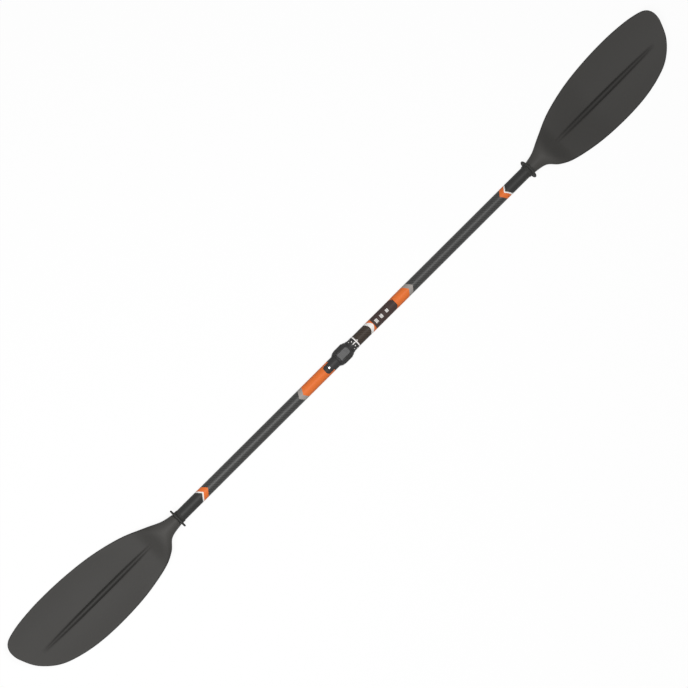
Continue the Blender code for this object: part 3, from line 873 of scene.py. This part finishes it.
# Tubes and their prints; a print's ground is the body, radius and slot of the tube that it lies on
LEFT_GROUND = ("left_half", SHAFT_RADIUS, "shaft")
RIGHT_GROUND = ("right_half", SHAFT_RADIUS, "shaft")
SLEEVE_GROUND = ("right_half", SLEEVE_RADIUS, "tube")
MALE_GROUND = ("right_half", MALE_RADIUS, "tube")


def print_band(name, ground, look, start, end):
    """Thin band round a tube; start and end give its edges along x at each angle from the top."""
    body, radius, slot = ground
    inner = radius + PRINT_LIFT
    outer = inner + PRINT_THICK
    bm = bmesh.new()
    rings = [[] for _ in range(4)]
    count = 2 * ROUND_SIDES
    for i in range(count):
        angle = math.tau * i / count
        places = (start(angle), end(angle), end(angle), start(angle))
        for ring, x, reach in zip(rings, places, (inner, inner, outer, outer)):
            ring.append(bm.verts.new((x, reach * math.sin(angle), reach * math.cos(angle))))
    bridge_rings(bm, rings, closed=True)
    settle(make_object(name, bm), body, look, slot)


def chevron(tip, depth, bend=1, roll=0.0):
    """Edge of a band that points along x on the tube's top and underside, straight or bent."""
    return lambda angle: tip + depth * abs(math.sin(angle - roll)) ** bend


def straight(x):
    """Edge of a band square to the shaft."""
    return lambda angle: x


def print_patch(name, ground, look, outline, layer=1, facing=0.0):
    """Thin patch on a tube from an outline in x and in distance round the tube from its top."""
    body, radius, slot = ground
    base = radius + PRINT_LIFT + layer * PRINT_LAYER
    bm = prism(outline, "Z", base, base + PRINT_THICK)
    low = min(y for _, y in outline)
    high = max(y for _, y in outline)
    for i in range(1, int((high - low) / PRINT_CUT) + 1):
        bmesh.ops.bisect_plane(bm, geom=bm.verts[:] + bm.edges[:] + bm.faces[:],
                               plane_co=(0.0, low + i * PRINT_CUT, 0.0), plane_no=(0.0, 1.0, 0.0))
    merge_close(bm, 0.5 * SMALLEST)
    for vert in bm.verts:
        angle = vert.co.y / radius + facing
        reach = vert.co.z
        vert.co.y = reach * math.sin(angle)
        vert.co.z = reach * math.cos(angle)
    settle(make_object(name, bm), body, look, slot)


def shoe_opening(gap):
    """Block that cuts an opening for the brake shoe, with a gap all round it."""
    length = SHOE_HALF_LENGTH + gap
    width = SHOE_HALF_WIDTH + gap
    outline = ((PIN_X - length, -width), (PIN_X + length, -width),
               (PIN_X + length, width), (PIN_X - length, width))
    return prism(outline, "Z", WINDOW_FLOOR, ABOVE_ALL)


def rivet_hole():
    """Rod that cuts the rivet's hole."""
    return prism(circle(RIVET_X, 0.0, RIVET_HOLE_RADIUS), "Z", WINDOW_FLOOR, ABOVE_ALL)


def pin_hole():
    """Rod that cuts the hinge pin's hole."""
    return prism(circle(PIN_X, PIN_Z, PIN_RADIUS + PIN_GAP), "Y", -ABOVE_ALL, ABOVE_ALL)


def grey_edges(side, roll):
    """Inner and outer edge of one half's grey chevron."""
    return [chevron(side * place, -side * GREY_CHEVRON_DEPTH, roll=roll) for place in GREY_CHEVRON]


def make_left_shaft():
    """Socket half with its window, rivet hole and printed bands."""
    shaft = make_object("left_shaft_tube", soft_tube(SHAFT_END, LEFT_MOUTH, BORE_RADIUS, SHAFT_RADIUS))
    carve(shaft, shoe_opening(WINDOW_GAP))
    carve(shaft, rivet_hole())
    settle(shaft, "left_half", "carbon", "shaft", "left_shaft")
    split_faces(shaft)
    inner, outer = grey_edges(-1, GREY_CHEVRON_ROLL)
    neck = straight(NECK_PRINT)
    print_band("left_orange_band", LEFT_GROUND, "orange", inner, neck)
    print_band("left_grey_chevron", LEFT_GROUND, "grey", outer, inner)
    print_band("left_neck_band", LEFT_GROUND, "black", neck, straight(BARREL_PROFILE[1][0]))
    print_band("crown_band", LEFT_GROUND, "black", straight(BARREL_PROFILE[-2][0]),
               straight(LEFT_MOUTH - PRINT_MARGIN))


def make_right_shaft():
    """Outer tube of the male half with its printed bands."""
    shaft = make_object("right_shaft_tube", soft_tube(RIGHT_START, -SHAFT_END, BORE_RADIUS, SHAFT_RADIUS))
    settle(shaft, "right_half", "carbon", "shaft", "right_shaft")
    inner, outer = grey_edges(1, 0.0)
    print_band("right_orange_band", RIGHT_GROUND, "orange", straight(RIGHT_START + PRINT_MARGIN), inner)
    print_band("right_grey_chevron", RIGHT_GROUND, "grey", inner, outer)


def make_end_bands(side, name):
    """Orange and white chevrons and the black zone next to a blade."""
    ground = (f"{name}_half", SHAFT_RADIUS, "shaft")
    edges = [chevron(side * place, side * END_CHEVRON_DEPTH, roll=END_CHEVRON_ROLL)
             for place in END_CHEVRONS]
    edges.append(straight(side * (-SHAFT_END - PRINT_MARGIN)))
    for look, start, end in zip(("orange", "white", "black"), edges, edges[1:]):
        print_band(f"{name}_end_{look}", ground, look, start, end)


def make_male_tube():
    """Inner tube with its stop band and scale, and a sleeve over it with a chevron and a bare label."""
    male = make_object("male_tube_skin", soft_tube(*MALE_ENDS, MALE_RADIUS - MALE_WALL, MALE_RADIUS))
    settle(male, "right_half", "tube", "tube", "male_tube")
    sleeve = soft_tube(WIPER_ENDS[1] + SLEEVE_MARGINS[0], RIGHT_START - SLEEVE_MARGINS[1],
                       MALE_RADIUS + SLEEVE_FIT, SLEEVE_RADIUS, SLEEVE_EDGE)
    settle(make_object("stop_sleeve", sleeve), "right_half", "tube", "tube")
    inner = chevron(MALE_CHEVRON[0], MALE_CHEVRON_DEPTH[0], bend=2)
    outer = chevron(MALE_CHEVRON[1], MALE_CHEVRON_DEPTH[1], bend=2)
    print_band("male_white_chevron", SLEEVE_GROUND, "white", inner, outer)
    shoulder = straight(RIGHT_START - SLEEVE_BAND_MARGIN)
    print_band("male_orange_band", SLEEVE_GROUND, "orange", outer, shoulder)
    half = LABEL_HALF_ANGLE * SLEEVE_RADIUS
    print_patch("label_panel", SLEEVE_GROUND, "label", rounded_box(*LABEL_ENDS, half, *LABEL_CORNERS))
    for index, (x, height) in enumerate(LABEL_MARKS):
        for bar in range(LABEL_BARS):
            start = x + LABEL_BAR_STEP * bar
            outline = rounded_box(start, start + LABEL_BAR_WIDTH, height, MARK_CORNER)
            print_patch(f"label_bar_{index}_{bar}", SLEEVE_GROUND, "white", outline, layer=2)
    print_band("male_stop_band", MALE_GROUND, "orange", *map(straight, STOP_BAND))
    print_band("male_stop_line", MALE_GROUND, "white", *map(straight, STOP_LINE))
    base = WIPER_ENDS[1] + INDEX_POINT_GAP
    point = ((base, -INDEX_POINT_HALF), (base + INDEX_POINT_LENGTH, 0.0), (base, INDEX_POINT_HALF))
    print_patch("index_point", SLEEVE_GROUND, "white", point, layer=0)
    for index in range(SCALE_COUNT):
        x = SCALE_FROM + index * SCALE_STEP
        half = TICK_HALF_LENGTHS[0 if index % SCALE_LONG_EVERY == 0 else 1]
        outline = rounded_box(x - TICK_HALF_WIDTH, x + TICK_HALF_WIDTH, half, TICK_CORNER)
        print_patch(f"scale_tick_{index}", MALE_GROUND, "white", outline, layer=0)


def make_end_plug():
    """Turned plug in the male tube's inner end, with its round nose, guide bush and seal."""
    front, back = PLUG_ENDS
    flange = PLUG_FLANGE_RADIUS
    spigot = MALE_RADIUS - MALE_WALL - FIT
    edge = PLUG_EDGE
    nose = front + PLUG_NOSE
    seat = MALE_ENDS[0] - FIT
    radius, depth = PLUG_DIMPLE
    profile = [(front + depth, 0.0), (front + depth, radius - depth), (front, radius)]
    for step in range(SHORT_CURVE_STEPS):
        angle = 0.5 * math.pi * step / SHORT_CURVE_STEPS
        profile.append((nose - edge - (PLUG_NOSE - edge) * math.cos(angle),
                        flange - PLUG_NOSE * (1.0 - math.sin(angle))))
    for start, end, neck in ((nose, nose + SEAL_GROOVE, SEAL_NECK_RADIUS),
                             (GUIDE_ENDS[0] - FIT, GUIDE_ENDS[1] + FIT, GUIDE_NECK_RADIUS)):
        profile += [(start - edge, flange), (start, flange - edge), (start, neck),
                    (end, neck), (end, flange - edge), (end + edge, flange)]
    profile += [(seat, flange), (seat, spigot), (back - edge, spigot), (back, spigot - edge), (back, 0.0)]
    plug = make_object("end_plug_body", turned(profile))
    settle(plug, "right_half", "collar", "end_plug", "male_end_plug")
    bush = soft_tube(*GUIDE_ENDS, GUIDE_NECK_RADIUS + FIT, MALE_RADIUS, 2 * PLUG_EDGE)
    settle(make_object("guide_bush", bush), "carriage", "acetal", "acetal", "guide_ring")
    section = 0.5 * (SEAL_RADIUS - SEAL_NECK_RADIUS - FIT)
    middle = 0.5 * sum(SEAL_ENDS)
    seal = circle(middle, SEAL_RADIUS - section, section, DOT_SIDES)
    settle(make_object("end_seal_rubber", turned(seal)), "right_half", "rubber", "rubber", "end_seal")


def make_mouth():
    """White wiper ring at the socket's mouth, with the index line and the feather marks."""
    start, end = WIPER_ENDS
    lip = WIPER_LIP
    edge = WIPER_EDGE
    profile = ((start, BORE_RADIUS + edge), (end - 0.5 * lip, BORE_RADIUS), (end, BORE_RADIUS + 0.5 * lip),
               (end - edge, SHAFT_RADIUS - lip), (end - lip, SHAFT_RADIUS - 0.5 * edge),
               (start + lip, SHAFT_RADIUS), (start, SHAFT_RADIUS - edge))
    settle(make_object("wiper_ring", turned(profile)), "left_half", "wiper", "wiper", "wiper_seal")
    line = rounded_box(LEFT_MOUTH - INDEX_LINE[0], LEFT_MOUTH - INDEX_LINE[1], INDEX_LINE_HALF, MARK_CORNER)
    print_patch("index_line", LEFT_GROUND, "white", line)
    for index, (x, degrees, radius) in enumerate(FEATHER_DOTS):
        for side, key in SIDES:
            print_patch(f"feather_dot_{index}_{key}", LEFT_GROUND, "white",
                        circle(x, 0.0, radius, DOT_SIDES), facing=side * math.radians(degrees))


# Ferrule clamp


def lever_housing():
    """Raised block that carries the lever's pin, its long top edges rounded."""
    bm = prism(HOUSING_PROFILE, "Y", -HOUSING_HALF_WIDTH, HOUSING_HALF_WIDTH)
    rim = [edge for edge in bm.edges
           if abs(edge.verts[0].co.y - edge.verts[1].co.y) < SMALLEST
           and min(vert.co.z for vert in edge.verts) > HOUSING_BEVEL_ABOVE]
    bmesh.ops.bevel(bm, geom=rim, offset=HOUSING_BEVEL, segments=HOUSING_BEVEL_STEPS, affect="EDGES",
                    profile=0.5)
    return bm


def rod(start, end, radius):
    """Plain rod along X, for cutting and joining, rolled so that its edges miss those of the barrel."""
    bm = turned(((start, 0), (start, radius), (end, radius), (end, 0)))
    quarter_facet = 0.25 * math.tau / ROUND_SIDES
    return moved(bm, Matrix.Rotation(quarter_facet, 4, "X"))


def grip_rib(angle):
    """Low rib along the barrel's side at one angle from the top."""
    top = BARREL_PROFILE[3][1] + GRIP_RIB_HEIGHT
    outline = rounded_box(*GRIP_RIB_ENDS, 0.5 * GRIP_RIB_WIDTH, GRIP_RIB_CORNER)
    return moved(prism(outline, "Z", top - GRIP_RIB_ROOT, top), Matrix.Rotation(-angle, 4, "X"))


def make_collar():
    """Moulded collar: barrel, housing, tongue and grip ribs joined, then bored, slotted and grooved."""
    profile = smooth_curve(BARREL_PROFILE, SHORT_CURVE_STEPS)
    ends = [(profile[0].x, 0.0), *[(p.x, p.y) for p in profile], (profile[-1].x, 0.0)]
    collar = make_object("collar_body", turned(ends))
    carve(collar, lever_housing(), "UNION")
    tongue = make_object("tongue_stock", rod(TONGUE_TIP - TONGUE_OVERLAP, TONGUE_ROOT + TONGUE_OVERLAP,
                                             TONGUE_RADIUS))
    plan = rounded_box(TONGUE_TIP, TONGUE_ROOT, TONGUE_HALF_WIDTH, TONGUE_CORNER, steps=TONGUE_CORNER_STEPS)
    carve(tongue, prism(plan, "Z", TONGUE_FLOOR, ABOVE_ALL), "INTERSECT")
    carve(collar, tongue, "UNION")
    for side in (-1, 1):
        for index in range(GRIP_RIBS):
            carve(collar, grip_rib(side * (GRIP_RIB_FIRST + GRIP_RIB_STEP * index)), "UNION")
    carve(collar, rod(BORE_START, 0.0, COLLAR_BORE_RADIUS))
    slot = ((SLOT_START, SLOT_HUB_FLOOR), (SLOT_STEP, SLOT_HUB_FLOOR), (SLOT_STEP, SLOT_ARM_FLOOR),
            (SLOT_END, SLOT_ARM_FLOOR), (SLOT_END, ABOVE_ALL), (SLOT_START, ABOVE_ALL))
    slot_half = LEVER_HALF + SLOT_GAP
    carve(collar, prism(slot, "Y", -slot_half, slot_half))
    for x, radius in COLLAR_GROOVES:
        carve(collar, soft_tube(x, x + GROOVE_WIDTH, radius, ABOVE_ALL))
    for hole in (shoe_opening(FIT), pin_hole(), rivet_hole()):
        carve(collar, hole)
    settle(collar, "left_half", "collar", "collar", "clamp_collar")
    split_faces(collar)


def lever_outline():
    """Side view of the lever about its pin: arm, then a cam whose reach falls evenly as it opens."""
    reach = LEVER_TIP - PIN_X
    outline = [(reach + x, z) for x, z in LEVER_TIP_POINTS]
    outline.append((0.0, CAM_RADIUS))
    fall = CAM_LIFT / LEVER_OPEN
    open_radius = CAM_RADIUS - CAM_LIFT
    for step in range(1, CURVE_STEPS):
        angle = lerp(math.pi, LEVER_OPEN, step / CURVE_STEPS)
        radius = lerp(CAM_RADIUS, open_radius, step / CURVE_STEPS)
        outline.append((-radius * math.sin(angle), -radius * math.cos(angle)))
    for step in range(CAM_STEPS, -1, -1):
        angle = LEVER_OPEN * step / CAM_STEPS
        radius = CAM_RADIUS - fall * angle
        outline.append((-radius * math.sin(angle) + fall * math.cos(angle),
                        -radius * math.cos(angle) - fall * math.sin(angle)))
    outline.append(LEVER_HEEL)
    return [(PIN_X + x, PIN_Z + z) for x, z in outline]


def lever_trim(outline, low, high):
    """Upright shape whose heights are counted from the arm's sloping top face."""
    back, height = LEVER_TIP_POINTS[-1]
    bm = prism(outline, "Z", low, high)
    for vert in bm.verts:
        along = (vert.co.x - PIN_X) / (LEVER_TIP - PIN_X + back)
        vert.co.z += PIN_Z + lerp(CAM_RADIUS, height, along)
    return bm


def make_lever():
    """Cam lever with a sunk bare panel, finger ridges at its tip and rounded edges."""
    lever = make_object("lever_body", prism(lever_outline(), "Y", -LEVER_HALF, LEVER_HALF))
    plan = rounded_box(PIN_X + LEVER_PLAN_START, LEVER_TIP + LEVER_PLAN_MARGINS[0],
                       LEVER_HALF + LEVER_PLAN_MARGINS[1], *LEVER_CORNERS)
    carve(lever, prism(plan, "Z", 0.0, ABOVE_ALL), "INTERSECT")
    carve(lever, pin_hole())
    panel = rounded_box(PIN_X + PANEL_ENDS[0], PIN_X + PANEL_ENDS[1], PANEL_HALF_WIDTH, PANEL_CORNER)
    carve(lever, lever_trim(panel, -PANEL_DEPTH, PANEL_CUT - PANEL_DEPTH))
    for index in range(RIDGES):
        x = PIN_X + RIDGE_FIRST + RIDGE_STEP * index
        half = LEVER_HALF - RIDGE_INSET - RIDGE_TAPER * index
        ridge = rounded_box(x, x + RIDGE_WIDTH, half, RIDGE_CORNER)
        carve(lever, lever_trim(ridge, *RIDGE_HEIGHTS), "UNION")
    settle(lever, "lever", "lever", "lever", "cam_lever")
    give(lever.modifiers.new("rounding", "BEVEL"), width=LEVER_EDGE * MM, segments=LEVER_EDGE_STEPS,
         limit_method="ANGLE", angle_limit=LEVER_EDGE_ANGLE)
    split_faces(lever)


def make_pin():
    """Hinge pin with tapered ends."""
    profile = [(-PIN_HALF, 0.0), (-PIN_HALF, PIN_END_RADIUS), (PIN_END_LENGTH - PIN_HALF, PIN_RADIUS),
               (PIN_HALF - PIN_END_LENGTH, PIN_RADIUS), (PIN_HALF, PIN_END_RADIUS), (PIN_HALF, 0.0)]
    place = Matrix.Translation((PIN_X, 0.0, PIN_Z)) @ Matrix.Rotation(0.5 * math.pi, 4, "Z")
    pin = make_object("hinge_pin", moved(turned(profile, PIN_SIDES), place))
    settle(pin, "left_half", "dark_steel", "steel", "lever_pin")


def make_rivet():
    """Domed rivet on the tongue."""
    tail, crown = RIVET_ENDS
    head = crown - RIVET_HEAD_HEIGHT
    rim = head + RIVET_HEAD_EDGE
    profile = [(tail, 0.0), (tail, RIVET_SHANK_RADIUS), (head, RIVET_SHANK_RADIUS),
               (head, RIVET_RADIUS - RIVET_HEAD_EDGE), (rim, RIVET_RADIUS)]
    for step in range(1, SHORT_CURVE_STEPS):
        angle = 0.5 * math.pi * step / SHORT_CURVE_STEPS
        profile.append((lerp(rim, crown, math.sin(angle)), RIVET_RADIUS * math.cos(angle)))
    profile.append((crown, 0.0))
    place = Matrix.Translation((RIVET_X, 0.0, 0.0)) @ Matrix.Rotation(-0.5 * math.pi, 4, "Y")
    rivet = make_object("tongue_rivet", moved(turned(profile, CIRCLE_SIDES), place))
    settle(rivet, "left_half", "steel", "steel", "collar_rivet")


def make_drip_ring(side, name):
    """Moulded rubber ring: round-lipped disc, dished faces, ribbed hub towards the middle."""
    hub_end, outer = sorted(abs(place) for place in span(f"{name}_drip_ring", 0))
    inner = outer - RING_THICK
    bore = SHAFT_RADIUS + RING_FIT
    rim = 0.5 * RING_THICK
    lip = RING_RADIUS - RING_LIP
    profile = [(outer, bore)]
    profile += [(outer + x, radius) for x, radius in RING_OUTER_FACE]
    profile.append((outer - RING_DISH, lip))
    for step in range(CURVE_STEPS + 1):
        angle = math.pi * step / CURVE_STEPS
        profile.append((outer - rim + rim * math.cos(angle), RING_RADIUS - rim + rim * math.sin(angle)))
    profile.append((inner + RING_DISH, lip))
    profile += [(inner + x, radius) for x, radius in RING_INNER_FACE]
    pitch = (inner - hub_end) * HUB_RIB_SHARE / HUB_RIBS
    for index in range(HUB_RIBS):
        start = inner - HUB_RIB_START - pitch * index
        profile += [(start - x, radius) for x, radius in HUB_RIB]
    profile += [(hub_end, HUB_END_RADIUS), (hub_end, bore + HUB_END_EDGE), (hub_end + HUB_END_EDGE, bore)]
    ring = make_object(f"{name}_ring_rubber", turned([(side * x, radius) for x, radius in profile]))
    settle(ring, f"{name}_ring", "rubber", "drip_ring", f"{name}_drip_ring")


def paint_hidden_nodes():
    """Finishes of the pieces inside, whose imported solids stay."""
    for node, look in (("brake_shoe", "acetal"), ("brake_pad", "rubber"), ("left_bulkhead", "foam")):
        paint(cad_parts[node], look)


# Camera, light and floor


def make_camera():
    """Nearly overhead, tilted a little towards the left half, with the shaft on the diagonal."""
    data = give(bpy.data.cameras.new("camera"), sensor_width=CAMERA_SENSOR, lens=CAMERA_LENS)
    facing = Matrix.Rotation(-CAMERA_TILT, 4, "Y") @ Matrix.Rotation(-CAMERA_TURN, 4, "Z")
    away = Matrix.Translation((0.0, 0.0, CAMERA_DISTANCE))
    place = Matrix.Translation(AIM) @ facing @ away
    bpy.context.scene.camera = give(show("camera", data), matrix_world=place)


def seen_rays(nodes):
    """1 for rays from the camera, off gloss or through glass, else 0."""
    rays = nodes.add("ShaderNodeLightPath").outputs
    total = rays["Is Camera Ray"]
    for key in ("Is Glossy Ray", "Is Transmission Ray"):
        total = nodes.math("MAXIMUM", total, rays[key])
    return total


def make_floor():
    """Pale floor under the paddle, nearly white where it is seen, which keeps a soft shadow."""
    bm = bmesh.new()
    bmesh.ops.create_grid(bm, x_segments=1, y_segments=1, size=FLOOR_HALF_SIZE)
    floor = show("floor", make_mesh("floor", bm))
    floor.location.z = -FLOOR_DROP
    nodes = Nodes(bpy.data.materials.new("pale_floor"))
    nodes.tree.nodes.clear()
    bounce = nodes.result("ShaderNodeBsdfDiffuse", {"Color": FLOOR_BOUNCE})
    matt = nodes.result("ShaderNodeBsdfDiffuse", {"Color": FLOOR_SEEN})
    glow = nodes.result("ShaderNodeEmission", {"Strength": 1.0})
    seen = nodes.result("ShaderNodeMixShader", {0: FLOOR_GLOW, 1: matt, 2: glow})
    mixed = nodes.result("ShaderNodeMixShader", {0: seen_rays(nodes), 1: bounce, 2: seen})
    nodes.add("ShaderNodeOutputMaterial", {"Surface": mixed})
    floor.data.materials.append(nodes.made)


def make_light():
    """Even pale surroundings and one long soft box that faces down."""
    nodes = Nodes(bpy.data.worlds.new("studio"))
    bpy.context.scene.world = nodes.made
    strength = nodes.between(seen_rays(nodes), ROOM_LEVEL, 1.0)
    nodes.feed(nodes.tree.nodes["Background"], {"Color": ROOM_COLOUR, "Strength": strength})
    lamp = give(bpy.data.lights.new("soft_box", "AREA"), energy=LAMP_WATTS, shape="RECTANGLE",
                size=LAMP_SIZE[0], size_y=LAMP_SIZE[1])
    give(show("soft_box", lamp), location=LAMP_PLACE, visible_camera=False)


make_camera()
for end, half_name in SIDES:
    make_blade(end, half_name)
    make_drip_ring(end, half_name)
make_left_shaft()
make_right_shaft()
for end, half_name in SIDES:
    make_end_bands(end, half_name)
make_male_tube()
make_end_plug()
make_mouth()
make_collar()
make_lever()
make_pin()
make_rivet()
paint_hidden_nodes()
make_floor()
make_light()
bpy.context.scene.view_settings.view_transform = "Standard"
